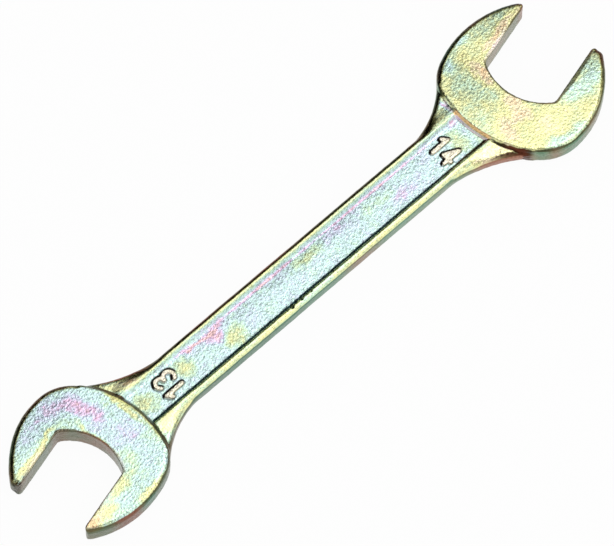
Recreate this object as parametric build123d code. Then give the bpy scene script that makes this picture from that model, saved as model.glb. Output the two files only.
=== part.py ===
from build123d import *
import os
from math import sqrt

# A double open end wrench, drop forged in one piece, lying flat on its two heads.
# Millimetres and degrees. X runs along the shank towards the large jaw and Z is up.
# The origin is on the shank's axis midway between the two heads, on the surface the wrench lies on.

# Nuts that the jaws fit, across flats, and the play that a jaw leaves on its nut
large_nut = 14.0
small_nut = 13.0
jaw_play = 0.25

# Heads
head_spacing = 99.4
head_thickness = 4.5
head_edge_round = 0.7
jaw_angle = 15.0
jaw_shift = 0.2
heel_slope_run = 0.5
heel_slope_height = 0.8

# Shank: a bar with a sunk panel in each face, so that its edges stand up as rims
shank_width = 9.8
shank_thickness = 3.7
shank_edge_round = 0.95
panel_width = 7.6
panel_depth = 0.8
panel_wall_run = 0.7
panel_foot_round = 0.3

# Webs that widen the shank into the heads, on the side the jaw leans to and on the other
web_drop = 0.3
web_edge_round = 1.1
web_radius_lean_side = 17.5
web_radius_far_side = 26.0
web_bite = 0.05

# Raised size numbers on the panel floors
number_place = 32.1
number_height = 4.4
number_relief = 0.35
number_stroke = 0.85
number_gap = 0.55

# How far cutting bodies run past what they cut
overrun = 1.0

# Head outline, as shares of the nut: x along the jaw's axis towards the mouth, y across it. From the heel, arcs
# that run on smoothly pass the heel's corner, the shoulder and the cheek and end at the tip of the jaw's nose.
heel_share = -0.814
lean_side_shares = [(-0.634, 0.72), (-0.229, 1.011), (0.468, 0.952), (1.003, 0.608)]
far_side_shares = [(-0.63, 0.684), (-0.212, 0.99), (0.485, 0.936), (0.964, 0.635)]

# The jaw's floor, an arc between two rounded corners, and the rounding of the noses, as shares of the nut
floor_share = -0.141
floor_radius_share = 0.757
floor_corner_share = 0.1
nose_round_share = 0.07

# Where the shank's bar ends inside a head, as a share of the nut
bar_end_share = 0.42

# Numerals: centre lines of the strokes, as shares of the number's height, x along the reading direction
one_shares = [((0.0, 0.0), (0.0, 1.0)), ((0.0, 1.0), (-0.24, 0.78))]
three_shares = [
    ((-0.24, 0.92), (0.23, 0.80), (-0.02, 0.54)),
    ((-0.02, 0.54), (0.25, 0.22), (-0.26, 0.10)),
]
four_shares = [
    ((0.10, 0.0), (0.10, 1.0)),
    ((0.10, 1.0), (-0.26, 0.30)),
    ((-0.26, 0.30), (0.26, 0.30)),
]
one_half_width_share = 0.12
three_half_width_share = 0.26
four_half_width_share = 0.26

middle = head_thickness / 2
mid_plane = Plane.XY.offset(middle)


def at_share(nut, shares):
    """A place on a head, from its shares of the nut."""
    return (shares[0] * nut, shares[1] * nut)


# Head


def side_edges(nut, side_shares):
    """One side of the head's outline, from the heel to the tip of the nose, with y across to that side."""
    edges = [TangentArc((heel_share * nut, 0), at_share(nut, side_shares[0]), tangent=(0, 1))]
    for shares in side_shares[1:]:
        edges.append(TangentArc(edges[-1] @ 1, at_share(nut, shares), tangent=edges[-1] % 1))
    return edges


def head_outline(nut):
    """The head without its jaw opening, in the jaw's own frame."""
    lean_side = side_edges(nut, lean_side_shares)
    far_side = [edge.mirror(Plane.XZ) for edge in side_edges(nut, far_side_shares)]
    mouth = Line(lean_side[-1] @ 1, far_side[-1] @ 1)
    outline = make_face([*lean_side, mouth, *far_side])
    tips = outline.vertices().sort_by(Axis.X)[-2:]
    return fillet(tips, nose_round_share * nut)


def jaw_wall(nut, side, tip_share):
    """One wall of the jaw opening, from the floor to where it rounds off into the tip of the nose."""
    half = (nut + jaw_play) / 2
    radius = nose_round_share * nut
    tip = tip_share * nut
    wall = Line((floor_corner_x(nut), side * half), (tip - radius, side * half))
    nose = TangentArc(wall @ 1, (tip, side * (half + radius)), tangent=(1, 0))
    return [wall, nose, Line(nose @ 1, (nut + overrun, side * (half + radius)))]


def floor_corner_x(nut):
    """Where the arc of the jaw's floor meets the line of its walls."""
    radius = floor_radius_share * nut
    return floor_share * nut + radius - sqrt(radius**2 - ((nut + jaw_play) / 2) ** 2)


def jaw_outline(nut):
    """The opening that takes the nut, running out past the noses."""
    lean_wall = jaw_wall(nut, 1, lean_side_shares[-1][0])
    far_wall = jaw_wall(nut, -1, far_side_shares[-1][0])
    floor = ThreePointArc(lean_wall[0] @ 0, (floor_share * nut, 0), far_wall[0] @ 0)
    end = Line(lean_wall[-1] @ 1, far_wall[-1] @ 1)
    opening = make_face([floor, *lean_wall, end, *far_wall])
    corners = opening.vertices().sort_by(Axis.X)[:2]
    return fillet(corners, floor_corner_share * nut)


def heel_slope(nut):
    """The ring that slopes the back of a head down to the shank, above the head's upper shoulder."""
    back = side_edges(nut, lean_side_shares)[0]
    height = heel_slope_height + overrun
    top_radius = back.radius - heel_slope_run * height / heel_slope_height
    ring = Cylinder(back.radius + overrun, height) - Cone(back.radius, top_radius, height)
    level = head_thickness - heel_slope_height + height / 2
    return Pos(back.arc_center.X, 0, level) * ring


def head(nut):
    """One head in its jaw's frame, standing on the ground."""
    blank = extrude(head_outline(nut), head_thickness)
    levels = blank.edges().group_by(Axis.Z)
    blank = fillet(levels[0] + levels[-1], head_edge_round)
    upper_slope = heel_slope(nut)
    blank = blank - upper_slope - upper_slope.mirror(mid_plane)
    opening = extrude(Pos(0, jaw_shift, -overrun) * jaw_outline(nut), head_thickness + 2 * overrun)
    return blank - opening


def head_place():
    """Where a head's frame lies on the end of the shank that points along +X."""
    return Pos(head_spacing / 2, 0, 0) * Rot(0, 0, jaw_angle)


# Shank


def web_flank(nut, side, side_shares, radius):
    """One web's concave edge: the arc from the shank's side to where it runs into the head's shoulder."""
    shoulder = side_edges(nut, side_shares)[1]
    centre = shoulder.arc_center
    centre = (head_place() * Pos(centre.X, side * centre.Y, 0)).position
    across = shank_width / 2 + radius
    reach = radius + shoulder.radius - web_bite
    start_x = centre.X - sqrt(reach**2 - (across - side * centre.Y) ** 2)
    arc_centre = Vector(start_x, side * across)
    towards = (Vector(centre.X, centre.Y) - arc_centre).normalized()
    start = Vector(start_x, side * shank_width / 2)
    return TangentArc(start, arc_centre + towards * radius, tangent=(1, 0))


def web(nut):
    """The webs of one head, as one plate between the heel and the straight of the shank."""
    lean = web_flank(nut, 1, lean_side_shares, web_radius_lean_side)
    far = web_flank(nut, -1, far_side_shares, web_radius_far_side)
    outline = [lean, Line(lean @ 1, far @ 1), far, Line(far @ 0, lean @ 0)]
    thickness = shank_thickness - 2 * web_drop
    plate = extrude(Pos(0, 0, middle - thickness / 2) * make_face(outline), thickness)
    return fillet(plate.edges().filter_by(GeomType.CIRCLE), web_edge_round)


def bar():
    """The straight bar that the shank is made of, from inside one head to inside the other."""
    large_end = head_spacing / 2 - bar_end_share * large_nut
    small_end = head_spacing / 2 - bar_end_share * small_nut
    length = large_end + small_end
    block = Pos((large_end - small_end) / 2, 0, middle) * Box(length, shank_width, shank_thickness)
    return fillet(block.edges().filter_by(Axis.X), shank_edge_round)


def panel_cut():
    """The upper face's sunk panel, with sloped walls, long enough to reach into both heads."""
    top = middle + shank_thickness / 2
    slope = panel_wall_run / panel_depth
    floor = panel_width / 2 - panel_wall_run
    crest = panel_width / 2 + slope * overrun
    section = Polyline(
        (0, crest, top + overrun),
        (0, floor, top - panel_depth),
        (0, -floor, top - panel_depth),
        (0, -crest, top + overrun),
        close=True,
    )
    trough = Pos(-head_spacing / 2, 0, 0) * extrude(make_face(section), head_spacing, dir=(1, 0, 0))
    feet = trough.edges().filter_by(Axis.X).sort_by(Axis.Z)[:2]
    return fillet(feet, panel_foot_round)


def shank():
    """Bar and webs, with a panel sunk in each face."""
    body = bar() + head_end(web(large_nut), 1) + head_end(web(small_nut), -1)
    cut = panel_cut()
    return body - cut - cut.mirror(mid_plane)


# Numbers


def digit(strokes):
    """One numeral as a flat outline: its strokes' centre lines, thickened with round ends."""
    centre_height = number_height - number_stroke
    shape = Sketch()
    for stroke in strokes:
        points = [(x * centre_height, y * centre_height) for x, y in stroke]
        line = Line(*points) if len(points) == 2 else ThreePointArc(*points)
        shape += SlotArc(line.edge(), number_stroke)
    return shape


def number(unit_strokes, unit_half_share):
    """The size number of one head, on the upper panel's floor: a one, and the digit beside it."""
    centre_height = number_height - number_stroke
    apart = (one_half_width_share + unit_half_share) * centre_height + number_stroke + number_gap / 2
    tens = Pos(-apart / 2, -centre_height / 2) * digit(one_shares)
    units = Pos(apart / 2, -centre_height / 2) * digit(unit_strokes)
    floor = middle + shank_thickness / 2 - panel_depth
    turned = Pos(number_place, 0, floor - number_relief) * Rot(0, 0, -90) * (tens + units)
    return extrude(turned, 2 * number_relief)


# Whole wrench


def head_end(body, end):
    """A body of the +X end, turned to the end asked for: 1 for the large jaw, -1 for the small one."""
    return body if end == 1 else Rot(0, 0, 180) * body


def both_faces(raised):
    """What the upper face carries, and the same on the lower face for a wrench turned over."""
    return raised, Pos(0, 0, 2 * middle) * Rot(180, 0, 0) * raised


def wrench_forging():
    """The wrench as one solid."""
    wrench = shank()
    wrench += head_place() * head(large_nut)
    wrench += head_end(head_place() * head(small_nut), -1)
    for raised in both_faces(number(four_shares, four_half_width_share)):
        wrench += raised
    for raised in both_faces(head_end(number(three_shares, three_half_width_share), -1)):
        wrench += raised
    return wrench


os.makedirs("parts", exist_ok=True)
forging = wrench_forging()
export_step(forging, "parts/wrench_forging.step")
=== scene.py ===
import math
from collections import namedtuple

import bpy
import numpy as np
from bpy.props import FloatProperty, FloatVectorProperty, IntProperty, PointerProperty
from mathutils import Matrix, Vector, noise
from mathutils.kdtree import KDTree


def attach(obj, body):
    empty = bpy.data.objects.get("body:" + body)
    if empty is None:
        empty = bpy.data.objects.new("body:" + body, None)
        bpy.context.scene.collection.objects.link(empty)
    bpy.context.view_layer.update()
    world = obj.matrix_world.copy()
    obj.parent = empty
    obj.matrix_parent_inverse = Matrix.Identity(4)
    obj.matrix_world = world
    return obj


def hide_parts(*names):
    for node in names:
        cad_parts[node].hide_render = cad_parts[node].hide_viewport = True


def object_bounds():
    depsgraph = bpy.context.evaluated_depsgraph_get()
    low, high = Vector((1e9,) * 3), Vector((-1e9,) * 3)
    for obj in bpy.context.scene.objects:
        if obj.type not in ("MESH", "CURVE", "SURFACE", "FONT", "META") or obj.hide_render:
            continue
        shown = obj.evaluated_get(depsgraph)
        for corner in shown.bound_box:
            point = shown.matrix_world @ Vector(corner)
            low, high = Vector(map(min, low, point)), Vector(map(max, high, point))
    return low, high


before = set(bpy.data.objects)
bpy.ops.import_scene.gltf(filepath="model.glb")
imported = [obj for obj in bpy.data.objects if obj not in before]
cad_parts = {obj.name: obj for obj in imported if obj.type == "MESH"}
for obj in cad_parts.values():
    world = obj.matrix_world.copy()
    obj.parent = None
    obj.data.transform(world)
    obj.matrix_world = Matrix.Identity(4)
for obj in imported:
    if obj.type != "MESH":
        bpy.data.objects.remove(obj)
cad_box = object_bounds()

bl_info = {
    "name": "Open end wrench",
    "version": (1, 0, 0),
    "blender": (4, 5, 0),
    "location": "3D View > Sidebar > Wrench",
    "description": "Dresses the forged double open end wrench in yellow zinc and sets its studio stage",
    "category": "Object",
}

FORGING = "wrench_forging"
MM = 0.001

# Sizes of the forging, in millimetres: its middle plane's height, the panels' reach along and across, and
# where the raised numbers stand and their tops begin
MIDDLE = 2.25
PANEL_END = 38.5
PANEL_WALL = 3.45
NUMBER_PLACE = 32.1
NUMBER_TOP = 1.22

# The rims' height above the middle plane, the webs' drop from it, and the rounding of the webs' edges
RIM_RISE = 1.85
WEB_DROP = 0.3
WEB_EDGE_ROUND = 1.1

# Each nut's width and its end of the wrench, the heads' spacing, and the jaws' turn, shift and play
NUTS = ((14.0, 1), (13.0, -1))
HEAD_SPACING = 99.4
JAW_ANGLE = math.radians(15.0)
JAW_SHIFT = 0.2
JAW_PLAY = 0.25

# The jaws' arched floors and the arcs that the heels stand on, as shares of the nut's width
JAW_FLOOR_SHARE = -0.141
JAW_FLOOR_RADIUS_SHARE = 0.757
HEEL_CENTRE_SHARE = 0.716
HEEL_RADIUS_SHARE = 1.53

# How far the heels' slopes run, and from where to where each heel reaches across the wrench
HEEL_RUN = 0.5
HEEL_SPANS = ((-10.6, 7.3), (-6.0, 7.6))

# Nicks that use has left on the far crest of the upper panel: x, y and radius, in millimetres
NICKS = [
    (-8.4, -3.55, 0.34),
    (-7.3, -3.65, 0.50),
    (-6.2, -3.45, 0.36),
    (-5.1, -3.60, 0.44),
    (-3.9, -3.50, 0.30),
    (-2.9, -3.65, 0.34),
]


# Sizes and colours


class ForgingSizes(bpy.types.PropertyGroup):
    """The skin of the forging, in millimetres."""

    skin_step: FloatProperty(
        name="Skin step", description="Side of the even squares that the skin is first cut into, in mm",
        default=0.125, min=0.1, max=0.5)
    softening: IntProperty(
        name="Softening", description="How often the skin is relaxed, which rounds its edges",
        default=4, min=0, max=30)
    outline_round: FloatProperty(
        name="Outline round", description="Radius of the heads' outer edges, in mm",
        default=1.1, min=0.7, max=2.0)
    outline_softening: IntProperty(
        name="Outline softening", description="How often the heads' outer edges are relaxed once more",
        default=8, min=0, max=60)
    web_softening: IntProperty(
        name="Web softening",
        description="How often the creases between rims and webs are relaxed once more",
        default=90, min=0, max=200)
    number_softening: IntProperty(
        name="Number softening", description="How often the raised numbers are relaxed once more",
        default=4, min=0, max=60)
    wave_height: FloatProperty(
        name="Wave height", description="How far the forged faces wander from flat, in mm",
        default=0.035, min=0.0, max=0.2)
    wave_length: FloatProperty(
        name="Wave length", description="Distance between the swells of the forged faces, in mm",
        default=5.0, min=1.0, max=30.0)
    ripple_height: FloatProperty(
        name="Ripple height", description="Height of the small unevenness on edges and walls, in mm",
        default=0.03, min=0.0, max=0.2)
    ripple_length: FloatProperty(
        name="Ripple length", description="Distance between the small uneven places, in mm",
        default=1.1, min=0.2, max=5.0)
    triangles: IntProperty(
        name="Triangles", description="Most triangles that the finished skin keeps",
        default=190000, min=20000, max=200000)


def tint(name, description, default):
    """A colour that a user may change."""
    return FloatVectorProperty(name=name, description=description, subtype="COLOR", default=default)


class FinishColours(bpy.types.PropertyGroup):
    """The yellow zinc coating, and the painted shade and highlights in its colour."""

    apricot: tint("Apricot", "Thinnest film", (0.95, 0.66, 0.38))
    cream: tint("Cream", "Film between apricot and yellow", (0.97, 0.85, 0.58))
    yellow: tint("Yellow", "Thin film", (0.95, 0.93, 0.45))
    lime: tint("Lime", "Film between yellow and mint", (0.78, 0.86, 0.50))
    mint: tint("Mint", "Middling film", (0.70, 0.93, 0.68))
    cyan: tint("Cyan", "Film between mint and lavender", (0.69, 0.93, 0.90))
    lavender: tint("Lavender", "Thick film", (0.72, 0.79, 0.95))
    pink: tint("Pink", "Film between lavender and salmon", (0.88, 0.62, 0.84))
    salmon: tint("Salmon", "Thickest film", (0.97, 0.66, 0.66))
    # Painted shade on the upright sides, in the hues of the coating's stains
    side_shade_green: tint("Side green", "Green stains on the upright sides", (0.13, 0.27, 0.18))
    side_shade_olive: tint("Side olive", "Coating on the upright sides", (0.21, 0.215, 0.135))
    side_shade_rose: tint("Side rose", "Rosy stains on the upright sides", (0.31, 0.15, 0.10))
    # Painted shade on the narrow roundings, in the hues of the coating's stains
    edge_shade_green: tint("Edge green", "Green stains on the narrow roundings", (0.030, 0.062, 0.028))
    edge_shade_olive: tint("Edge olive", "Coating on the narrow roundings", (0.075, 0.063, 0.028))
    edge_shade_rust: tint("Edge rust", "Rusty stains on the narrow roundings", (0.19, 0.055, 0.030))
    # Painted shade at the panels' far walls and in the nicks
    wall_shade_teal: tint("Pooled teal", "Coating pooled at the panels' far walls", (0.025, 0.075, 0.085))
    wall_shade_brown: tint("Pooled brown", "The same coating beside the large head", (0.11, 0.07, 0.02))
    # Painted gold half-shade where a face begins to bend down towards a shaded rounding
    shoulder_shade_gold: tint("Shoulder gold", "Where a face begins to bend down", (0.62, 0.60, 0.20))
    # Painted pink highlight where the jaws' line of painted shade fades
    jaw_highlight_pink: tint("Jaw pink", "Where the brown line along a jaw's edge fades", (0.97, 0.80, 0.82))
    heel_orange: tint("Heel orange", "The slope at the back of the large head", (0.85, 0.54, 0.26))
    heel_pink: tint("Heel pink", "Foot of that slope", (0.90, 0.72, 0.78))
    number_cream: tint("Number cream", "Coating on the raised numbers' tops", (1.0, 0.86, 0.64))
    # Painted shade on the raised numbers' walls
    number_shade_brown: tint("Number brown", "Coating on the raised numbers' walls", (0.022, 0.012, 0.008))
    roughness: FloatProperty(
        name="Roughness", description="How far the satin coating spreads a reflection",
        default=0.23, min=0.0, max=1.0)
    grain: FloatProperty(
        name="Grain", description="Height of the blasted grain, in mm", default=0.19, min=0.0, max=0.4)


class StageSizes(bpy.types.PropertyGroup):
    """The studio and the camera."""

    camera_height: FloatProperty(
        name="Camera height", description="Angle of the camera above the floor", subtype="ANGLE",
        default=math.radians(66.54))
    camera_turn: FloatProperty(
        name="Camera turn", description="Angle from the shank to the picture's level", subtype="ANGLE",
        default=math.radians(42.714))
    camera_distance: FloatProperty(
        name="Camera distance", description="From the lens to the middle of the wrench", unit="LENGTH",
        default=0.95)
    camera_lens: FloatProperty(
        name="Lens", description="Focal length on a sensor 36 mm wide", subtype="DISTANCE_CAMERA",
        default=324.55)
    aim: FloatVectorProperty(
        name="Aim", description="Point in the picture's middle", subtype="XYZ",
        default=(0.0000358, 0.000375, 0.0))
    floor_size: FloatProperty(
        name="Floor size", description="Side of the floor", unit="LENGTH", default=12.0)
    sky_low: FloatProperty(
        name="Low sky", description="Brightness of the white tent at the floor's edge", default=1.0)
    sky_high: FloatProperty(
        name="High sky", description="Brightness of the white tent overhead", default=0.35)
    lamp: FloatProperty(
        name="Lamp", description="Brightness of the softbox overhead", default=0.88)
    right_lamp: FloatProperty(
        name="Right lamp", description="Brightness of the softbox at the right", default=1.15)
    front_lamp: FloatProperty(
        name="Front lamp", description="Brightness of the softbox at the front", default=0.95)


# Forged skin


# Walls have normals less upright than this, and every third of their points is enough to measure from
WALL_UPRIGHT = 0.3
WALL_STEP = 3

# Where the heads' outer edges are rounded, each pair from its start to full strength: off the jaw in
# millimetres, and off the heel, along and across, and off the shank in shares of the nut's width
OFF_JAW = (0.25, 1.1)
OFF_HEEL_ALONG = (-0.62, -0.5)
OFF_HEEL_ACROSS = (0.58, 0.68)
OFF_SHANK = (-0.8, -0.65)
OUTLINE_WALL_SHARE = 0.6
OUTLINE_REACH = 1.1

# Where the creases between rims and webs are filled, in millimetres: along and across the wrench, above
# its middle plane, and off the webs' walls, which lie within the last two
FILL_ALONG = ((31.5, 34.0), (39.6, 40.2))
FILL_ACROSS = (3.9, 6.4)
FILL_ABOVE = 1.3
FILL_OFF_WALL = (WEB_EDGE_ROUND - 0.3, WEB_EDGE_ROUND + 0.2)
WEB_WALLS_ALONG = (30, 44)
WEB_WALLS_ACROSS = 4.2

# Where the filled creases are relaxed, along and across
SOFT_ALONG = ((28.5, 31.0), (38.2, 39.0))
SOFT_ACROSS = ((3.8, 4.2), (5.4, 6.2))

# Where the raised numbers are relaxed: from their middles along and across, and above the middle plane
NUMBER_SOFT_ALONG = (2.6, 3.2)
NUMBER_SOFT_ACROSS = (2.6, 2.9)
NUMBER_SOFT_ABOVE = 0.8

# The nicks' depth and floor as shares of their radius, how they are squeezed across the wrench, and how
# upright the normals are where they show
NICK_DEPTH = 0.6
NICK_FLOOR = 0.2
NICK_SQUEEZE = 0.7
NICK_UPRIGHT = 0.2

# Where the noise of the swells and of the ripple starts, how far the swells sink the skin, how much of
# the ripple flat faces lose, and how sharply that loss ends at their edges
WAVE_START = 3.7
RIPPLE_START = 11.3
WAVE_SINK = 0.5
RIPPLE_LOSS = 0.75
RIPPLE_EDGE = 6


def packed_copy(name):
    """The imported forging's mesh once more, in millimetres, as an object of its own."""
    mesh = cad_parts[FORGING].data.copy()
    mesh.name = name
    mesh.transform(Matrix.Scale(1 / MM, 4))
    mesh.materials.clear()
    body = bpy.data.objects.new(name, mesh)
    bpy.context.scene.collection.objects.link(body)
    return body


def bake_modifiers(body):
    """Puts what the object's modifiers make into its mesh."""
    depsgraph = bpy.context.evaluated_depsgraph_get()
    made = bpy.data.meshes.new_from_object(body.evaluated_get(depsgraph), depsgraph=depsgraph)
    body.modifiers.clear()
    old = body.data
    body.data = made
    bpy.data.meshes.remove(old)
    made.name = body.name


def relax(body, passes, group=""):
    """Adds a relaxing of the skin, where the group says."""
    softer = body.modifiers.new("Relaxed skin", "SMOOTH")
    softer.factor = 0.5
    softer.iterations = passes
    softer.vertex_group = group


def even_skin(body, step, softening):
    """Covers the body with an even skin and relaxes it, so every edge is a little round."""
    skin = body.modifiers.new("Even skin", "REMESH")
    skin.mode = "VOXEL"
    skin.voxel_size = step
    relax(body, softening)
    bake_modifiers(body)


def places_of(mesh):
    """The mesh's points and their normals."""
    count = len(mesh.vertices)
    points = np.empty(count * 3, np.float32)
    normals = np.empty(count * 3, np.float32)
    mesh.vertices.foreach_get("co", points)
    mesh.vertices.foreach_get("normal", normals)
    return points.reshape(-1, 3), normals.reshape(-1, 3)


def put_places(mesh, points):
    """Moves the mesh's points."""
    mesh.vertices.foreach_set("co", points.astype(np.float32).ravel())
    mesh.update()


def ramp(values, low, high):
    """From 0 at low to 1 at high, smoothly."""
    share = np.clip((values - low) / (high - low), 0.0, 1.0)
    return share * share * (3 - 2 * share)


def stretch(values, rise, fall):
    """From 0 to 1 over the first pair of values, and back to 0 over the second."""
    return ramp(values, *rise) * (1 - ramp(values, *fall))


def nut_ramp(values, nut, shares):
    """From 0 to 1 between two shares of the nut's width."""
    return ramp(values, shares[0] * nut, shares[1] * nut)


def head_share(points, nut, end):
    """How much each point belongs to a head's faces and outer edges, and not to its jaw or its heel."""
    x = end * points[:, 0] - HEAD_SPACING / 2
    y = end * points[:, 1]
    along = x * math.cos(JAW_ANGLE) + y * math.sin(JAW_ANGLE)
    across = np.abs(y * math.cos(JAW_ANGLE) - x * math.sin(JAW_ANGLE) - JAW_SHIFT)
    radius = JAW_FLOOR_RADIUS_SHARE * nut
    centre = JAW_FLOOR_SHARE * nut + radius
    past_wall = across - (nut + JAW_PLAY) / 2
    past_floor = np.hypot(along - centre, across) - radius
    room = np.where(along < centre, np.maximum(past_wall, past_floor), past_wall)
    off_heel = np.maximum(nut_ramp(along, nut, OFF_HEEL_ALONG), nut_ramp(across, nut, OFF_HEEL_ACROSS))
    return ramp(room, *OFF_JAW) * off_heel * nut_ramp(x, nut, OFF_SHANK)


def distances_to_walls(points, normals, near, beside):
    """How far each near point lies in plan from the nearest of the walls beside it."""
    walls = points[(np.abs(normals[:, 2]) < WALL_UPRIGHT) & beside][::WALL_STEP]
    tree = KDTree(len(walls))
    for number, (x, y, _) in enumerate(walls.tolist()):
        tree.insert((x, y, 0.0), number)
    tree.balance()
    return np.array([tree.find((x, y, 0.0))[2] for x, y, _ in points[near].tolist()], np.float32)


def relax_share(body, share, passes):
    """Relaxes the skin, each point as much as its share says."""
    group = body.vertex_groups.new(name="share")
    steps = 20
    levels = np.round(share * steps).astype(int)
    for level in range(1, steps + 1):
        group.add(np.flatnonzero(levels == level).tolist(), level / steps, "REPLACE")
    relax(body, passes, group.name)
    bake_modifiers(body)
    body.vertex_groups.clear()


def round_outlines(body, sizes):
    """Rounds the heads' outer edges more than their jaws', as trimming and tumbling leave them."""
    points, normals = places_of(body.data)
    share = sum(head_share(points, nut, end) for nut, end in NUTS)
    radius = sizes.outline_round
    rise = points[:, 2] - MIDDLE
    near = (share > 0) & (np.abs(rise) > MIDDLE - OUTLINE_REACH * radius)
    away = distances_to_walls(points, normals, near, share > OUTLINE_WALL_SHARE)
    gap = np.clip(radius - away, 0.0, radius)
    drop = (radius - np.sqrt(radius**2 - gap**2)) * share[near]
    rise[near] = np.sign(rise[near]) * np.minimum(np.abs(rise[near]), MIDDLE - drop)
    points[:, 2] = rise + MIDDLE
    put_places(body.data, points)
    relax_share(body, share, sizes.outline_softening)


def fill_web_creases(body):
    """Fills the steps between the rims and the webs to a long, low slope."""
    points, normals = places_of(body.data)
    along = np.abs(points[:, 0])
    across = np.abs(points[:, 1])
    rise = points[:, 2] - MIDDLE
    share = stretch(along, *FILL_ALONG)
    share *= (across > FILL_ACROSS[0]) & (np.abs(rise) > FILL_ABOVE)
    near = share > 0
    first, last = WEB_WALLS_ALONG
    beside = (along > first) & (along < last) & (across > WEB_WALLS_ACROSS)
    share[near] *= ramp(distances_to_walls(points, normals, near, beside), *FILL_OFF_WALL)
    slope = RIM_RISE - WEB_DROP * ramp(across, *FILL_ACROSS)
    points[:, 2] += np.sign(rise) * share * np.maximum(slope - np.abs(rise), 0)
    put_places(body.data, points)


def soften_webs(body, sizes):
    """Lets the rims run smoothly into the webs."""
    fill_web_creases(body)
    points, _ = places_of(body.data)
    share = stretch(np.abs(points[:, 0]), *SOFT_ALONG)
    share *= stretch(np.abs(points[:, 1]), *SOFT_ACROSS)
    relax_share(body, share, sizes.web_softening)


def round_numbers(body, sizes):
    """Takes the crispness off the raised numbers."""
    points, _ = places_of(body.data)
    along = np.abs(np.abs(points[:, 0]) - NUMBER_PLACE)
    across = np.abs(points[:, 1])
    share = (1 - ramp(along, *NUMBER_SOFT_ALONG)) * (1 - ramp(across, *NUMBER_SOFT_ACROSS))
    share *= np.abs(points[:, 2] - MIDDLE) > NUMBER_SOFT_ABOVE
    relax_share(body, share, sizes.number_softening)


def nick_crest(body):
    """Dents the far crest of the upper panel."""
    points, normals = places_of(body.data)
    upper = (points[:, 2] > MIDDLE) & (normals[:, 2] > NICK_UPRIGHT)
    for x, y, radius in NICKS:
        away = np.hypot(points[:, 0] - x, NICK_SQUEEZE * (points[:, 1] - y))
        points[:, 2] -= upper * NICK_DEPTH * radius * (1 - ramp(away, NICK_FLOOR * radius, radius))
    put_places(body.data, points)


def swell(points, length, seed):
    """Smooth noise from -1 to 1 at each point, with swells about one length apart."""
    start = Vector((seed, 2 * seed, 3 * seed))
    return np.array([noise.noise(Vector(p) / length + start) for p in points.tolist()], np.float32)


def forge_unevenness(body, sizes):
    """Moves the skin a little along its normals, as dies and blasting leave it."""
    points, normals = places_of(body.data)
    wave = swell(points, sizes.wave_length, WAVE_START)
    ripple = swell(points, sizes.ripple_length, RIPPLE_START)
    flat = np.abs(normals[:, 2]) ** RIPPLE_EDGE
    shift = sizes.wave_height * (wave - WAVE_SINK)
    shift += sizes.ripple_height * ripple * (1 - RIPPLE_LOSS * flat)
    put_places(body.data, points + normals * shift[:, None])


def keep_in_box(body):
    """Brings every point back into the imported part's box."""
    points, _ = places_of(body.data)
    lowest, highest = (np.array(corner) / MM for corner in cad_box)
    put_places(body.data, np.clip(points, lowest, highest))


def thin_skin(body, triangles):
    """Spares triangles where the skin is flat."""
    have = 2 * len(body.data.polygons)
    if have <= triangles:
        return
    spare = body.modifiers.new("Spared triangles", "DECIMATE")
    spare.ratio = triangles / have
    bake_modifiers(body)


# Nodes


Axes = namedtuple("Axes", ("x", "y", "z"))
Spot = namedtuple("Spot", ("x", "y", "z", "along", "across"))


def add_node(tree, kind, inputs=(), **settings):
    """A new node with its settings, and each input set to a value or joined to a socket."""
    node = tree.nodes.new(kind)
    for key, value in settings.items():
        setattr(node, key, value)
    for key, value in dict(inputs).items():
        if isinstance(value, bpy.types.NodeSocket):
            tree.links.new(value, node.inputs[key])
        else:
            node.inputs[key].default_value = value
    return node


def maths(tree, operation, *values):
    """The result of one operation on numbers or sockets."""
    return add_node(tree, "ShaderNodeMath", enumerate(values), operation=operation).outputs[0]


def times(tree, first, second):
    """One number times another."""
    return maths(tree, "MULTIPLY", first, second)


def times_plus(tree, first, second, third):
    """One number times another, and a third added."""
    return maths(tree, "MULTIPLY_ADD", first, second, third)


def plus(tree, first, second):
    """The sum of two numbers."""
    return maths(tree, "ADD", first, second)


def minus(tree, first, second):
    """One number less another."""
    return maths(tree, "SUBTRACT", first, second)


def absolute(tree, value):
    """The number without its sign."""
    return maths(tree, "ABSOLUTE", value)


def larger(tree, first, second):
    """The larger of two numbers."""
    return maths(tree, "MAXIMUM", first, second)


def smaller(tree, first, second):
    """The smaller of two numbers."""
    return maths(tree, "MINIMUM", first, second)


def vectors(tree, operation, *values, scale=None):
    """The result of one operation on vectors."""
    inputs = dict(enumerate(values))
    if scale is not None:
        inputs["Scale"] = scale
    return add_node(tree, "ShaderNodeVectorMath", inputs, operation=operation).outputs[0]


def distance(tree, first, second):
    """How far two places lie from each other."""
    inputs = {0: first, 1: second}
    return add_node(tree, "ShaderNodeVectorMath", inputs, operation="DISTANCE").outputs["Value"]


def axes(tree, vector):
    """The vector's three numbers, as x, y and z."""
    return Axes(*add_node(tree, "ShaderNodeSeparateXYZ", {0: vector}).outputs)


def spot(tree, places):
    """A place's x, y and z, and how far it lies from the wrench's middle along and across."""
    x, y, z = axes(tree, places)
    return Spot(x, y, z, absolute(tree, x), absolute(tree, y))


def between(tree, value, low, high, to_low=0.0, to_high=1.0):
    """The value taken smoothly from one range to another."""
    inputs = {"Value": value, "From Min": low, "From Max": high, "To Min": to_low, "To Max": to_high}
    node = add_node(tree, "ShaderNodeMapRange", inputs, interpolation_type="SMOOTHSTEP")
    return node.outputs["Result"]


def cloud(tree, places, scale, detail=2.0, roughness=0.5):
    """Soft noise from 0 to 1."""
    inputs = {"Vector": places, "Scale": scale, "Detail": detail, "Roughness": roughness}
    return add_node(tree, "ShaderNodeTexNoise", inputs).outputs["Fac"]


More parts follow.
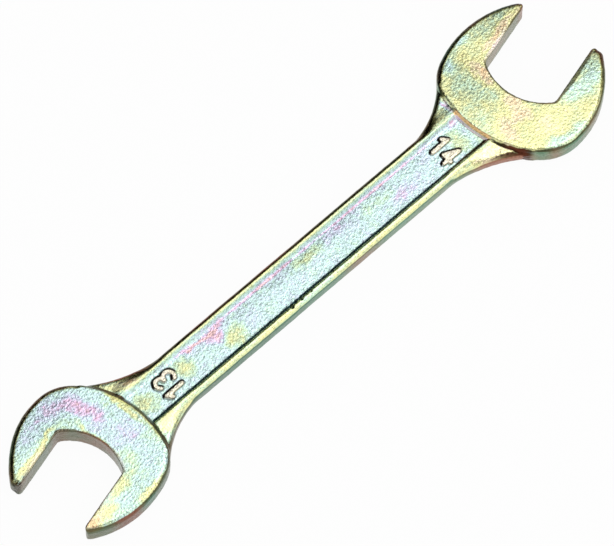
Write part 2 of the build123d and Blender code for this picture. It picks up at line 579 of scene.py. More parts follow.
def blend(tree, share, first, second):
    """Two colours mixed, from the first at a share of 0 to the second at 1."""
    node = add_node(tree, "ShaderNodeMix", data_type="RGBA")
    for index, value in ((0, share), (6, first), (7, second)):
        if isinstance(value, bpy.types.NodeSocket):
            tree.links.new(value, node.inputs[index])
        else:
            node.inputs[index].default_value = (*value, 1.0)
    return node.outputs[2]


def cover(tree, colour, coat, share, strength):
    """The colour, covered by a coat where and as strongly as it says."""
    return blend(tree, times(tree, share, strength), colour, coat)


def plain_material(name):
    """A material with an empty node tree and its output."""
    material = bpy.data.materials.new(name)
    material.use_nodes = True
    tree = material.node_tree
    tree.nodes.clear()
    return material, tree, add_node(tree, "ShaderNodeOutputMaterial")


# Yellow zinc


# Patches of the chromate film: x and y of the place, its reach along and across, its turn in degrees,
# and how much thicker the film is there (towards pink), or thinner where below zero (towards apricot)
LARGE_HEAD_FILM = [
    (43.4, 11.4, 3.4, 2.6, 30, 0.26),
    (47.8, 13.2, 3.4, 2.0, 0, 0.24),
    (43.4, 6.4, 3.6, 6.0, 0, 0.17),
    (53.0, 12.6, 6.0, 2.6, -5, 0.16),
    (58.0, 12.2, 4.0, 2.0, -20, 0.14),
    (55.0, 10.2, 9.0, 1.3, 13, -0.26),
    (46.8, 6.2, 1.8, 6.0, 0, -0.26),
    (46.4, -2.0, 2.8, 5.4, -10, -0.29),
    (42.4, -4.6, 3.0, 5.0, 0, -0.22),
    (43.0, 1.4, 2.4, 2.4, 0, -0.06),
    (49.0, -8.4, 6.0, 3.0, 0, -0.12),
    (47.0, -12.0, 3.4, 2.0, 0, 0.20),
    (50.5, -12.8, 4.5, 1.6, 0, 0.22),
    (55.6, -7.2, 5.0, 3.4, 15, 0.22),
    (61.0, -6.4, 6.0, 3.6, 15, 0.20),
    (59.0, -9.0, 5.0, 2.0, 30, 0.12),
    (56.6, -10.2, 5.0, 1.6, 25, -0.06),
]
SMALL_HEAD_FILM = [
    (-46.8, 7.4, 2.8, 4.0, 0, 0.22),
    (-45.0, 4.2, 2.2, 2.8, 0, 0.19),
    (-51.5, 9.6, 8.0, 3.2, 10, 0.09),
    (-46.2, 6.0, 4.5, 6.5, -10, 0.10),
    (-50.5, 10.0, 5.0, 2.6, -10, 0.13),
    (-56.0, 8.8, 5.0, 2.2, 20, 0.08),
    (-57.5, 5.4, 9.0, 1.2, 13, -0.40),
    (-48.0, 1.4, 0.9, 7.0, 8, -0.28),
    (-40.8, 2.0, 1.1, 9.0, 4, -0.36),
    (-43.8, -3.0, 3.2, 4.5, 0, 0.12),
    (-43.6, -8.6, 4.0, 3.0, 0, 0.06),
    (-46.5, -7.0, 3.0, 3.0, 0, -0.08),
    (-56.6, -10.2, 4.0, 1.8, -10, -0.40),
    (-59.6, -10.4, 4.0, 2.2, -20, -0.44),
    (-50.6, -8.6, 5.0, 1.6, 13, -0.24),
    (-47.0, -12.6, 8.0, 1.2, 10, -0.28),
]
PANEL_FILM = [
    (-23.0, 2.9, 8.0, 0.8, 0, 0.36),
    (-20.6, 1.6, 2.8, 2.6, -30, 0.24),
    (36.6, 2.7, 2.6, 0.8, 0, 0.20),
    (38.0, 5.8, 1.1, 2.4, 0, 0.34),
    (-37.2, 0.2, 3.6, 3.6, 0, -0.28),
    (-28.0, 0.6, 3.0, 2.4, 0, -0.32),
    (-17.8, -1.0, 3.0, 3.2, 0, -0.36),
    (1.0, 1.8, 6.0, 1.6, 0, -0.20),
    (35.0, 0.0, 2.6, 4.4, 0, -0.24),
    (37.0, -6.2, 5.0, 2.8, -20, -0.26),
    (-38.2, 5.0, 3.6, 1.8, -15, -0.45),
    (-37.6, -5.4, 3.4, 2.0, 15, -0.20),
    (17.0, 0.8, 6.0, 1.8, 0, -0.10),
    (7.0, 1.8, 6.0, 1.6, 0, 0.12),
    (22.0, -0.6, 6.0, 2.2, 0, 0.12),
]

# Thicker film in a straight line along the lean crest of the panels
CREST_FILM = [
    (-8.0, 2.9, 16.0, 0.45, 0, 0.30),
    (17.0, 2.9, 22.0, 0.38, 0, 0.28),
]

# The film beside the patches at the small and the large head, and how much thicker it is on the rims
FILM_AT_SMALL = 0.65
FILM_AT_LARGE = 0.39
FILM_ON_RIMS = -0.28

# The line of painted shade along the jaws' edges: its width, its soft end's, its strength, and where
# it is wider or fades into a painted pink highlight, with place, reach and turn as above, and how much
JAW_LINE_WIDTH = 0.22
JAW_LINE_END = 0.22
JAW_LINE = 0.9
JAW_LINE_WIDER = [
    (58.5, -5.2, 8.0, 2.2, 13, 0.50),
    (-51.6, 4.6, 3.0, 2.6, -30, 0.22),
]
JAW_LINE_FADES = [
    (52.0, 9.4, 6.0, 3.0, 13, -0.9),
    (-59.0, 5.0, 6.0, 2.4, 13, -0.35),
    (-48.4, -4.6, 3.0, 4.0, 0, -0.45),
    (-54.0, -8.6, 6.0, 2.0, 13, -0.25),
]

# Parts of the faces with painted shade and coarser grain: place, reach and turn as above, and how much
# darker they are painted, or painted lighter with calmer grain where below zero
SHADE_AND_GRAIN_PARTS = [
    (44.0, 7.0, 7.0, 10.0, 0, 0.18),
    (55.0, 12.0, 9.0, 4.0, -15, 0.20),
    (60.4, 11.7, 2.4, 1.8, -20, 0.62),
    (57.4, 12.8, 4.0, 1.6, -20, 0.26),
    (62.5, -5.4, 5.0, 3.4, 15, 0.24),
    (64.2, -5.0, 1.8, 2.6, 0, 0.36),
    (49.0, -9.0, 9.0, 4.0, 0, -0.09),
    (41.0, -4.0, 2.4, 7.0, 0, -0.08),
    (-52.0, 9.6, 11.0, 5.0, 20, 0.11),
    (-64.0, 4.0, 2.0, 1.8, 0, 0.70),
    (-45.0, -3.0, 6.0, 9.0, 0, -0.02),
    (-55.5, -9.8, 8.0, 4.0, 10, -0.17),
    (-58.0, 5.6, 8.0, 1.6, 13, -0.14),
    (3.0, 2.4, 38.0, 2.2, 0, 0.15),
    (-38.0, 0.0, 4.0, 5.0, 0, 0.06),
    (-38.6, 5.4, 3.4, 2.0, -15, -0.22),
]

# Where the painted shade line on the far edges is wider: place, reach and turn as above, and how much
FAR_LINE_WIDER = [
    (39.4, -8.4, 5.0, 2.2, -22, 0.26),
    (45.6, -13.0, 4.0, 2.0, -25, 0.10),
    (-60.2, -11.4, 3.0, 1.6, -15, 0.16),
]

# Painted shade in the corner of the large heel, the far web and the head's side, as above
LARGE_HEEL_CORNER = (41.6, -9.9, 2.2, 1.1, -48, 1.6)

# Stains on sides and roundings: place, reach and turn as above, and how rosy (or how green, below zero)
STAINS = [
    (37.6, -7.4, 6.0, 2.4, -22, 1.0),
    (41.4, -9.0, 3.6, 3.6, 0, 1.0),
    (46.0, -13.2, 2.6, 1.6, -20, 0.3),
    (60.6, 11.0, 2.8, 2.4, 0, 0.9),
    (51.0, 13.6, 3.0, 1.6, 0, 0.4),
    (64.2, -5.6, 2.4, 3.0, 0, 0.6),
    (44.5, 13.0, 4.0, 2.6, 20, -0.8),
    (58.0, 12.8, 3.6, 2.0, -20, -1.0),
    (38.5, 8.6, 4.0, 2.4, 25, -0.5),
    (49.0, -14.4, 6.0, 2.4, 0, -0.9),
    (43.6, -12.0, 3.0, 2.0, -30, -0.6),
    (-37.0, 6.2, 6.0, 2.6, -15, 1.1),
    (-4.0, 4.9, 8.0, 1.6, 0, 0.9),
    (-20.0, 4.9, 5.0, 1.6, 0, 0.5),
    (8.0, -4.9, 6.0, 2.0, 0, 1.3),
    (-4.0, -4.9, 60.0, 2.0, 0, -1.1),
    (24.0, 4.9, 10.0, 1.6, 0, -0.4),
    (-53.5, -13.4, 5.0, 2.4, 0, 1.0),
    (-48.6, 1.0, 2.4, 6.0, 0, 0.6),
    (-52.4, 5.2, 3.0, 2.4, 0, 0.6),
    (-58.0, 10.2, 7.0, 2.4, 30, -0.7),
    (-43.0, 8.8, 3.4, 2.6, -30, -0.9),
    (-48.6, -13.6, 3.4, 2.4, 0, -0.9),
    (-44.6, -12.0, 3.0, 2.4, 30, -0.4),
    (-57.0, 4.6, 5.0, 1.6, 13, -0.3),
]

# How finely streaks change along x, y and z, on the rims and in the stains
RIM_STREAKS = (0.07, 1.5, 0.4)
STAIN_STREAKS = (0.12, 0.2, 0.3)

# Where the roundings get painted shade: facing the side that the jaws lean to, and forward on the large
# noses
LEAN_SIDE = (-0.3, 0.95, 0.0)
LEAN_FORWARD = (0.95, 0.3, 0.0)

# How strongly some coats and painted shades cover what lies under them, from 0 to 1
SHOULDER_COVER = 0.8
FAR_LINE_COVER = 0.95
FOOT_COVER = 0.6
HEEL_GOLD_COVER = 0.8
CREST_COVER = 0.75
CREAM_COVER = 0.8

# The span of the grain's noise from its pits, painted darker, to its open faces
PITS = (0.34, 0.50)

# Patches reach through the whole thickness, and their middles are at full strength from this share on
PATCH_HEIGHT = 1000.0
PATCH_CORE = 0.9


def uneven(tree, places, scale, amount, detail=3.0, roughness=0.6):
    """Noise round zero that spans the amount."""
    return times(tree, minus(tree, cloud(tree, places, scale, detail, roughness), 0.5), amount)


def with_patches(tree, places, value, patches):
    """The value, changed by each of the oval patches."""
    for x, y, along, across, turn, change in patches:
        oval = add_node(tree, "ShaderNodeMapping", {
            "Vector": places, "Location": (x, y, 0), "Rotation": (0, 0, math.radians(turn)),
            "Scale": (along, across, PATCH_HEIGHT)}, vector_type="TEXTURE")
        ball = add_node(tree, "ShaderNodeTexGradient", {0: oval.outputs[0]}, gradient_type="SPHERICAL")
        value = times_plus(tree, between(tree, ball.outputs["Fac"], 0.0, PATCH_CORE), change, value)
    return value


def astray(tree, places, scale, reach):
    """Places moved about a little, so that what is laid on them has uneven borders."""
    inputs = {"Vector": places, "Scale": scale, "Detail": 4.0, "Roughness": 0.6}
    wander = add_node(tree, "ShaderNodeTexNoise", inputs)
    drift = vectors(tree, "SUBTRACT", wander.outputs["Color"], (0.5, 0.5, 0.5))
    return vectors(tree, "ADD", places, vectors(tree, "SCALE", drift, scale=reach))


def beside_panels(tree, split):
    """The rims beside the panels, and more faintly the heads, from 0 to 1."""
    beside = between(tree, split.across, PANEL_WALL - 0.1, PANEL_WALL + 0.5)
    return times(tree, beside, between(tree, split.along, PANEL_END - 3.0, PANEL_END + 0.6, 1.0, 0.3))


def film_thickness(tree, places, split):
    """How thick the chromate film is, from 0 for apricot to 1 for salmon."""
    film = between(tree, split.x, PANEL_END - 1.5, PANEL_END + 1.0, FILM_AT_SMALL, FILM_AT_LARGE)
    moved = astray(tree, places, scale=0.3, reach=4.0)
    film = with_patches(tree, moved, film, LARGE_HEAD_FILM + SMALL_HEAD_FILM + PANEL_FILM)
    film = with_patches(tree, places, film, CREST_FILM)
    streaks = uneven(tree, vectors(tree, "MULTIPLY", places, RIM_STREAKS), scale=1.0, amount=0.55)
    film = times_plus(tree, beside_panels(tree, split), plus(tree, streaks, FILM_ON_RIMS), film)
    film = plus(tree, film, uneven(tree, places, scale=0.4, amount=0.34))
    return plus(tree, film, uneven(tree, places, scale=1.6, amount=0.24, detail=2.0, roughness=0.7))


def colour_scale(tree, value, shades):
    """A colour from an even row of shades, the first at 0 and the last at 1."""
    scale = add_node(tree, "ShaderNodeValToRGB", {0: value})
    steps = scale.color_ramp.elements
    while len(steps) < len(shades):
        steps.new(0.5)
    for number, shade in enumerate(shades):
        steps[number].position = number / (len(shades) - 1)
        steps[number].color = (*shade, 1.0)
    return scale.outputs["Color"]


def film_colour(tree, film, colours):
    """The colour that a film of that thickness shows on a face."""
    return colour_scale(tree, film, [
        colours.apricot, colours.cream, colours.yellow, colours.lime, colours.mint, colours.cyan,
        colours.lavender, colours.pink, colours.salmon])


def stain_strength(tree, places):
    """How stained a side or rounding is, from 0 for green over 0.5 for olive to 1 for rose and rust."""
    streaks = cloud(tree, vectors(tree, "MULTIPLY", places, STAIN_STREAKS), 1.0)
    start = times(tree, minus(tree, streaks, 0.5), 2.2)
    stained = with_patches(tree, astray(tree, places, scale=0.4, reach=2.0), start, STAINS)
    return times_plus(tree, stained, 0.5, 0.5)


def side_shade_colour(tree, stain, split, colours):
    """Painted shade on the upright sides, in the stains' green, olive and rose, darker towards the small
    head.
    """
    colour = colour_scale(tree, stain, [colours.side_shade_green, colours.side_shade_olive, colours.side_shade_rose])
    return vectors(tree, "SCALE", colour, scale=between(tree, split.x, -30.0, 30.0, 0.72, 1.15))


def edge_shade_colour(tree, stain, split, colours):
    """Painted shade on the roundings between faces and sides, in the stains' hues, darkest by the large
    heel.
    """
    colour = colour_scale(tree, stain, [colours.edge_shade_green, colours.edge_shade_olive, colours.edge_shade_rust])
    heel = band(tree, split.x, 36.5, 44.5, soft=3.0)
    return vectors(tree, "SCALE", colour, scale=times_plus(tree, heel, -0.75, 1.25))


def number_zone(tree, split):
    """Where the raised numbers stand, from 0 to 1."""
    along = absolute(tree, minus(tree, split.along, NUMBER_PLACE))
    return times(tree, between(tree, along, 3.0, 2.6), between(tree, split.across, 2.9, 2.6))


def panel_zone(tree, split):
    """The sunk panels and their walls, from 0 to 1."""
    along = between(tree, split.along, PANEL_END + 1.3, PANEL_END + 0.9)
    across = between(tree, split.across, 4.0, 3.8)
    return times(tree, along, across)


def rim_zone(tree, split):
    """The rims beside the panels, from 0 to 1."""
    beside = between(tree, split.across, 3.7, 4.1)
    return times(tree, beside, between(tree, split.along, 40.0, 36.0))


def leaning(tree, normal, towards):
    """How far a surface leans towards a direction."""
    inputs = {0: normal, 1: towards}
    return add_node(tree, "ShaderNodeVectorMath", inputs, operation="DOT_PRODUCT").outputs["Value"]


def lean_of(tree, normal, places, split):
    """How far a surface leans to the jaws' side, or forward on the large noses, less on the webs."""
    sideways = leaning(tree, normal, LEAN_SIDE)
    forward = leaning(tree, normal, LEAN_FORWARD)
    forward = times(tree, forward, between(tree, split.x, 57.5, 60.0))
    stray = uneven(tree, places, scale=1.4, amount=0.14)
    lean = plus(tree, larger(tree, sideways, forward), stray)
    webs = band(tree, split.along, 32.5, 41.0, soft=1.2)
    return times_plus(tree, webs, -0.14, lean)


def far_line(tree, places, split, flatness):
    """The painted shade line along the heads' far edges, from 0 to 1."""
    line_place = plus(tree, flatness, uneven(tree, places, scale=1.4, amount=0.16))
    line_place = minus(tree, line_place, with_patches(tree, places, 0.0, FAR_LINE_WIDER))
    heads = between(tree, split.along, 33.0, 40.0, 0.0, FAR_LINE_COVER)
    return times(tree, between(tree, line_place, 0.82, 0.70), heads)


def roundings(tree, colour, edge, open_face, lean, line, colours):
    """Painted gold half-shade on the shoulders and painted shade on the roundings round the open faces.
    """
    shoulder = between(tree, lean, 0.07, 0.16, 0.0, SHOULDER_COVER)
    colour = cover(tree, colour, colours.shoulder_shade_gold, open_face, shoulder)
    rounding = larger(tree, between(tree, lean, 0.13, 0.32), line)
    return cover(tree, colour, edge, open_face, rounding)


def past_heel(tree, places, nut, end):
    """How far a place lies outside the arc that a head's heel stands on, in millimetres."""
    out = HEEL_CENTRE_SHARE * nut
    x = end * (HEAD_SPACING / 2 + out * math.cos(JAW_ANGLE))
    y = end * out * math.sin(JAW_ANGLE)
    flat = vectors(tree, "MULTIPLY", places, (1.0, 1.0, 0.0))
    return minus(tree, distance(tree, flat, (x, y, 0.0)), HEEL_RADIUS_SHARE * nut)


def past_jaw(tree, places, nut, end):
    """How far a place lies outside a jaw's opening, in millimetres."""
    turn = JAW_ANGLE if end > 0 else JAW_ANGLE + math.pi
    own = add_node(tree, "ShaderNodeMapping", {
        "Vector": places, "Location": (end * HEAD_SPACING / 2, 0, 0),
        "Rotation": (0, 0, turn)}, vector_type="TEXTURE")
    own = vectors(tree, "SUBTRACT", own.outputs[0], (0.0, JAW_SHIFT, 0.0))
    split = axes(tree, own)
    wall = minus(tree, absolute(tree, split.y), (nut + JAW_PLAY) / 2)
    radius = JAW_FLOOR_RADIUS_SHARE * nut
    centre = JAW_FLOOR_SHARE * nut + radius
    flat = vectors(tree, "MULTIPLY", own, (1.0, 1.0, 0.0))
    floor = minus(tree, distance(tree, flat, (centre, 0, 0)), radius)
    beyond = maths(tree, "GREATER_THAN", split.x, centre)
    return larger(tree, wall, times_plus(tree, beyond, -nut, floor))


def band(tree, value, first, last, soft):
    """1 where the value lies from first to last, and 0 beyond soft ends."""
    risen = between(tree, value, first - soft, first + soft)
    return times(tree, risen, between(tree, value, last + soft, last - soft))


def heel_slopes(tree, pasts, across):
    """The slopes at the back of both heads, from 0 to 1."""
    slopes = []
    for past, (low, high) in zip(pasts, HEEL_SPANS):
        slope = band(tree, past, -HEEL_RUN - 0.4, 0.3, soft=0.1)
        slopes.append(times(tree, slope, band(tree, across, low, high, soft=0.4)))
    return larger(tree, *slopes)


def large_heel(tree, colour, edge, past, places, frayed, split, colours):
    """The large head's heel: orange with a pink foot, painted shade at the far web, a dashed shade line
    at the other.
    """
    across = split.y
    foot = times(tree, band(tree, past, -0.15, 0.3, soft=0.1), band(tree, across, 4.4, 7.0, soft=0.5))
    colour = cover(tree, colour, colours.heel_pink, foot, FOOT_COVER)
    line = times(tree, band(tree, past, -0.5, -0.38, soft=0.06), between(tree, across, 4.1, 4.8))
    dashes = between(tree, cloud(tree, places, 1.1), 0.36, 0.52, 0.2, 0.85)
    colour = cover(tree, colour, edge, line, dashes)
    slope = band(tree, past, -HEEL_RUN - 0.1, 0.15, soft=0.1)
    warm = blend(tree, between(tree, split.z, 3.75, 4.0), colours.heel_pink, colours.heel_orange)
    colour = cover(tree, colour, warm, slope, band(tree, across, -3.8, 4.3, soft=0.5))
    brown = band(tree, past, -HEEL_RUN + 0.1, 0.2, soft=0.12)
    brown = times(tree, brown, between(tree, across, -3.4, -4.8))
    brown = smaller(tree, with_patches(tree, frayed, brown, [LARGE_HEEL_CORNER]), 1.0)
    return blend(tree, brown, colour, edge)


def small_heel(tree, colour, edge, past, split, colours):
    """The small head's heel: painted shade on its slope, and painted gold half-shade where the face bends
    to it.
    """
    beside = band(tree, split.y, -6.4, 5.8, soft=1.2)
    gold = times(tree, band(tree, past, -HEEL_RUN - 0.45, -0.3, soft=0.25), beside)
    colour = cover(tree, colour, colours.shoulder_shade_gold, gold, HEEL_GOLD_COVER)
    return blend(tree, band(tree, past, -HEEL_RUN - 0.15, 0.15, soft=0.12), colour, edge)


def jaw_lines(tree, colour, edge, places, frayed, colours):
    """Painted shade as a line along both jaws' edges, and a painted pink highlight where that line fades.
    """
    past = smaller(tree, *(past_jaw(tree, frayed, nut, end) for nut, end in NUTS))
    past = minus(tree, past, with_patches(tree, places, 0.0, JAW_LINE_WIDER))
    strength = with_patches(tree, places, JAW_LINE, JAW_LINE_FADES)
    highlight_share = minus(tree, JAW_LINE, strength)
    colour = cover(tree, colour, colours.jaw_highlight_pink, between(tree, past, 0.75, 0.35), highlight_share)
    line = between(tree, past, JAW_LINE_WIDTH + JAW_LINE_END, JAW_LINE_WIDTH)
    return cover(tree, colour, edge, line, strength)


def far_panel_wall(tree, colour, split, frayed, colours):
    """Painted shade at the panels' far walls and in the nicks, and painted gold half-shade on the crest.
    """
    across = axes(tree, frayed).y
    shaded = blend(tree, between(tree, split.x, 24.0, 32.0), colours.wall_shade_teal, colours.wall_shade_brown)
    spots = [(x, y, 1.5 * size, 1.2 * size, 0, 1.0) for x, y, size in NICKS]
    nicked = with_patches(tree, frayed, 0.0, spots)
    colour = blend(tree, between(tree, nicked, 0.1, 0.7), colour, shaded)
    inside = between(tree, split.along, PANEL_END + 0.6, PANEL_END)
    crest = times(tree, inside, band(tree, across, -3.8, -3.4, soft=0.1))
    colour = cover(tree, colour, colours.shoulder_shade_gold, crest, CREST_COVER)
    return cover(tree, colour, shaded, inside, band(tree, across, -3.5, -3.0, soft=0.1))


def numbers(tree, colour, split, facing, flatness, colours):
    """Cream tops on the raised numbers, painted shade in brown on their walls, darkest facing the jaws'
    side.
    """
    zone = number_zone(tree, split)
    rise = absolute(tree, minus(tree, split.z, MIDDLE))
    top = times(tree, zone, between(tree, rise, NUMBER_TOP - 0.12, NUMBER_TOP + 0.02))
    colour = cover(tree, colour, colours.number_cream, top, CREAM_COVER)
    lean = between(tree, facing.y, -0.12, 0.04, 0.3, 1.0)
    wall = times(tree, zone, between(tree, flatness, 0.998, 0.97))
    return cover(tree, colour, colours.number_shade_brown, wall, lean)


def with_painted_shade(tree, colour, grain, shade_and_grain):
    """The colour, with painted shade in the grain's pits and on the shaded parts, and painted light on
    the lit parts.
    """
    pits = between(tree, grain, *PITS, times_plus(tree, shade_and_grain, -1.0, 0.78), 1.04)
    painted_light_level = times(tree, pits, times_plus(tree, shade_and_grain, -0.8, 1.0))
    return vectors(tree, "SCALE", colour, scale=painted_light_level)


def relief(tree, grain, shade_and_grain, split, colours):
    """The blasted grain as fine bumps, calmer on smooth parts and on the rims."""
    coarse = between(tree, shade_and_grain, -0.2, 0.3, 0.38, 1.0)
    coarse = times(tree, coarse, times_plus(tree, rim_zone(tree, split), -0.4, 1.0))
    inputs = {"Height": grain, "Distance": colours.grain * MM, "Strength": coarse}
    return add_node(tree, "ShaderNodeBump", inputs).outputs["Normal"]


def coating(tree, places, split, normal, colours):
    """The coating's colour all over the wrench, with its painted shade and highlights."""
    facing = axes(tree, normal)
    flatness = absolute(tree, facing.z)
    stain = stain_strength(tree, places)
    # Painted shade for the roundings, the lines along edges and the dark heel slopes
    edge = edge_shade_colour(tree, stain, split, colours)
    frayed = astray(tree, places, scale=0.9, reach=0.5)
    pasts = [past_heel(tree, frayed, nut, end) for nut, end in NUTS]
    heels = heel_slopes(tree, pasts, split.y)
    open_face = minus(tree, 1.0, larger(tree, panel_zone(tree, split), heels))
    lean = lean_of(tree, normal, places, split)
    line = far_line(tree, places, split, flatness)

    colour = film_colour(tree, film_thickness(tree, places, split), colours)
    colour = roundings(tree, colour, edge, open_face, lean, line, colours)
    colour = jaw_lines(tree, colour, edge, places, frayed, colours)
    colour = far_panel_wall(tree, colour, split, frayed, colours)
    colour = large_heel(tree, colour, edge, pasts[0], places, frayed, split, colours)
    colour = small_heel(tree, colour, edge, pasts[1], split, colours)
    colour = numbers(tree, colour, split, facing, flatness, colours)
    # Painted shade on the upright sides
    upright = between(tree, flatness, 0.52, 0.38)
    side = side_shade_colour(tree, stain, split, colours)
    return cover(tree, colour, side, upright, minus(tree, 1.0, heels))


def yellow_zinc(colours):
    """Satin zinc under a yellow chromate film, on blasted steel, with painted shade and highlights in its
    colour.
    """
    material, tree, output = plain_material("yellow_zinc")
    coordinates = add_node(tree, "ShaderNodeTexCoord").outputs
    places = vectors(tree, "SCALE", coordinates["Object"], scale=1 / MM)
    split = spot(tree, places)
    colour = coating(tree, places, split, coordinates["Normal"], colours)
    grain = cloud(tree, places, scale=2.3, roughness=0.55)
    shade_and_grain = with_patches(tree, astray(tree, places, scale=0.2, reach=4.0), 0.0, SHADE_AND_GRAIN_PARTS)
    rough = times_plus(tree, cloud(tree, places, 0.8), 0.12, colours.roughness - 0.06)
    shader = add_node(tree, "ShaderNodeBsdfPrincipled", {
        "Base Color": with_painted_shade(tree, colour, grain, shade_and_grain), "Metallic": 1.0, "Roughness": rough,
        "Normal": relief(tree, grain, shade_and_grain, split, colours)})
    tree.links.new(shader.outputs[0], output.inputs["Surface"])
    return material


class WRENCH_OT_forging(bpy.types.Operator):
    """Makes the forged wrench with its uneven skin and yellow zinc finish"""

    bl_idname = "wrench.forging"
    bl_label = "Forged wrench"

    def execute(self, context):
        sizes = context.scene.wrench_forging
        body = packed_copy("forged_wrench")
        even_skin(body, sizes.skin_step, sizes.softening)
        round_outlines(body, sizes)
        soften_webs(body, sizes)
        round_numbers(body, sizes)
        nick_crest(body)
        forge_unevenness(body, sizes)
        keep_in_box(body)
        thin_skin(body, sizes.triangles)
        body.data.transform(Matrix.Scale(MM, 4))
        body.data.shade_smooth()
        body.data.materials.append(yellow_zinc(context.scene.wrench_finish))
        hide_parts(FORGING)
        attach(body, "root")
        return {"FINISHED"}


# Stage


# How white the floor shows, how far it lies under the wrench in millimetres, and a card's strips
FLOOR_WHITE = 0.96
FLOOR_GAP = 0.02
CARD_STRIPS = 24


def shown_white(tree, surface, share):
    """The surface, with part of it a plain white that the camera, gloss and glass all see."""
    path = add_node(tree, "ShaderNodeLightPath")
    seen = larger(tree, path.outputs["Is Camera Ray"], path.outputs["Is Glossy Ray"])
    seen = larger(tree, seen, path.outputs["Is Transmission Ray"])
    white = add_node(tree, "ShaderNodeEmission", {"Color": (1, 1, 1, 1), "Strength": 1.0})
    part = times(tree, seen, share)
    return add_node(tree, "ShaderNodeMixShader", {0: part, 1: surface, 2: white.outputs[0]}).outputs[0]


def link_mesh(name, points, faces, material):
    """A new object of the stage from points and faces."""
    mesh = bpy.data.meshes.new(name)
    mesh.from_pydata(points, [], faces)
    mesh.materials.append(material)
    made = bpy.data.objects.new(name, mesh)
    bpy.context.scene.collection.objects.link(made)
    return made


def pale_floor(size):
    """The floor that the wrench lies on."""
    material, tree, output = plain_material("pale_floor")
    paint = add_node(tree, "ShaderNodeBsdfDiffuse", {"Color": (0.88, 0.88, 0.88, 1)})
    tree.links.new(shown_white(tree, paint.outputs[0], FLOOR_WHITE), output.inputs["Surface"])
    half = size / 2
    corners = [(-half, -half, 0), (half, -half, 0), (half, half, 0), (-half, half, 0)]
    floor = link_mesh("floor", corners, [(0, 1, 2, 3)], material)
    floor.location.z = -FLOOR_GAP * MM


def direction(turn, height):
    """A unit vector, turned from the X axis in plan and raised above the floor, both in degrees."""
    turn, height = math.radians(turn), math.radians(height)
    level = math.cos(height)
    return Vector((level * math.cos(turn), level * math.sin(turn), math.sin(height)))


def place_camera(sizes):
    """Looks at the wrench from the photograph's angle."""
    back = direction(-90 - math.degrees(sizes.camera_turn), math.degrees(sizes.camera_height))
    right = Vector((math.cos(sizes.camera_turn), -math.sin(sizes.camera_turn), 0))
    data = bpy.data.cameras.new("camera")
    data.lens = sizes.camera_lens
    data.sensor_width = 36.0
    data.clip_start = 0.01
    data.clip_end = 100.0
    camera = bpy.data.objects.new("camera", data)
    turned = Matrix((right, back.cross(right), back)).transposed().to_4x4()
    camera.matrix_world = Matrix.Translation(Vector(sizes.aim) + back * sizes.camera_distance) @ turned
    bpy.context.scene.collection.objects.link(camera)
    bpy.context.scene.camera = camera


def softbox(name, towards, brightness, distance, wide, high):
    """A lamp that faces the wrench. Its brightness is what a mirror would show of it."""
    data = bpy.data.lights.new(name, "AREA")
    data.shape = "RECTANGLE"
    data.size = wide
    data.size_y = high
    data.energy = brightness * math.pi * wide * high
    lamp = bpy.data.objects.new(name, data)
    lamp.location = towards * distance
    lamp.rotation_euler = towards.to_track_quat("Z", "Y").to_euler()
    bpy.context.scene.collection.objects.link(lamp)


def dark_card(name, turns, heights, distance):
    """A curved black card that only the metal mirrors, which gives its edges their dark lines."""
    material, tree, output = plain_material(name)
    paint = add_node(tree, "ShaderNodeBsdfDiffuse", {"Color": (0.01, 0.01, 0.01, 1)})
    tree.links.new(paint.outputs[0], output.inputs["Surface"])
    first, last = turns
    points, faces = [], []
    for number in range(CARD_STRIPS + 1):
        away = direction(first + (last - first) * number / CARD_STRIPS, 0) * distance
        for height in heights:
            points.append(away + Vector((0, 0, distance * math.tan(math.radians(height)))))
    for corner in range(0, 2 * CARD_STRIPS, 2):
        faces.append((corner, corner + 1, corner + 3, corner + 2))
    card = link_mesh(name, points, faces, material)
    card.visible_camera = False
    card.visible_diffuse = False
    card.visible_shadow = False


def white_tent(low, high):
    """A white tent round the stage, brightest at the floor's edge."""
    world = bpy.data.worlds.new("white_tent")
    bpy.context.scene.world = world
    world.use_nodes = True
    tree = world.node_tree
    tree.nodes.clear()
    place = add_node(tree, "ShaderNodeTexCoord")
    split = axes(tree, place.outputs["Generated"])
    strength = between(tree, split.z, 0.25, 0.8, low, high)
    white = add_node(tree, "ShaderNodeBackground", {"Color": (1, 1, 1, 1), "Strength": strength})
    output = add_node(tree, "ShaderNodeOutputWorld")
    tree.links.new(white.outputs[0], output.inputs["Surface"])


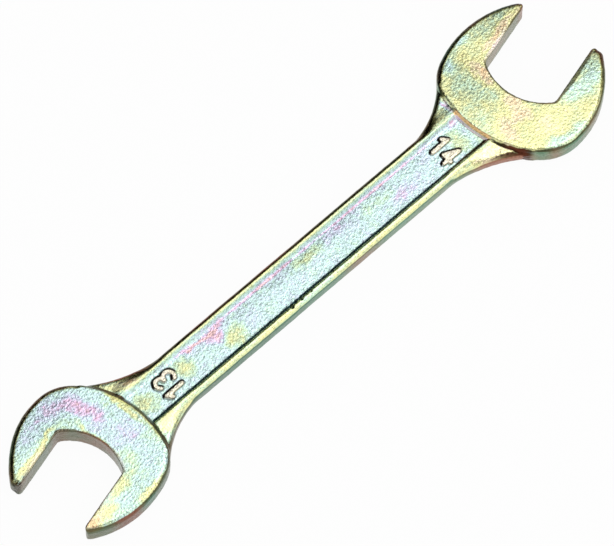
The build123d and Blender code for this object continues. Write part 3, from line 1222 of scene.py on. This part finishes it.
class WRENCH_OT_stage(bpy.types.Operator):
    """Sets the floor, the lamps, the dark cards and the camera"""

    bl_idname = "wrench.stage"
    bl_label = "Studio stage"

    def execute(self, context):
        scene = context.scene
        sizes = scene.wrench_stage
        scene.view_settings.view_transform = "Standard"
        pale_floor(sizes.floor_size)
        white_tent(sizes.sky_low, sizes.sky_high)
        overhead, right, front = direction(20, 76), direction(335, 60), direction(288, 42)
        softbox("overhead_softbox", overhead, sizes.lamp, distance=0.8, wide=0.6, high=0.6)
        softbox("right_softbox", right, sizes.right_lamp, distance=0.9, wide=0.5, high=0.5)
        softbox("front_softbox", front, sizes.front_lamp, distance=0.9, wide=0.5, high=0.35)
        dark_card("left_card", turns=(56, 142), heights=(1, 46), distance=0.5)
        dark_card("right_card", turns=(300, 352), heights=(16, 28), distance=0.5)
        place_camera(sizes)
        return {"FINISHED"}


class WRENCH_PT_sidebar(bpy.types.Panel):
    """Shows the sizes, colours and stage settings, and the buttons that make the wrench and its stage"""

    bl_idname = "WRENCH_PT_sidebar"
    bl_label = "Open end wrench"
    bl_space_type = "VIEW_3D"
    bl_region_type = "UI"
    bl_category = "Wrench"

    def draw(self, context):
        scene = context.scene
        for settings, operator in (
            (scene.wrench_forging, WRENCH_OT_forging),
            (scene.wrench_finish, None),
            (scene.wrench_stage, WRENCH_OT_stage),
        ):
            column = self.layout.column(align=True)
            for name in settings.__annotations__:
                column.prop(settings, name)
            if operator:
                column.operator(operator.bl_idname)


CLASSES = (
    ForgingSizes,
    FinishColours,
    StageSizes,
    WRENCH_OT_forging,
    WRENCH_OT_stage,
    WRENCH_PT_sidebar,
)


def register():
    """Gives Blender the add-on's classes, and each scene its settings."""
    for one in CLASSES:
        bpy.utils.register_class(one)
    bpy.types.Scene.wrench_forging = PointerProperty(type=ForgingSizes)
    bpy.types.Scene.wrench_finish = PointerProperty(type=FinishColours)
    bpy.types.Scene.wrench_stage = PointerProperty(type=StageSizes)


def unregister():
    """Takes the settings and the classes away again."""
    del bpy.types.Scene.wrench_stage
    del bpy.types.Scene.wrench_finish
    del bpy.types.Scene.wrench_forging
    for one in reversed(CLASSES):
        bpy.utils.unregister_class(one)


def main():
    """Makes the wrench and its stage."""
    register()
    bpy.ops.wrench.forging()
    bpy.ops.wrench.stage()


if __name__ == "__main__":
    main()
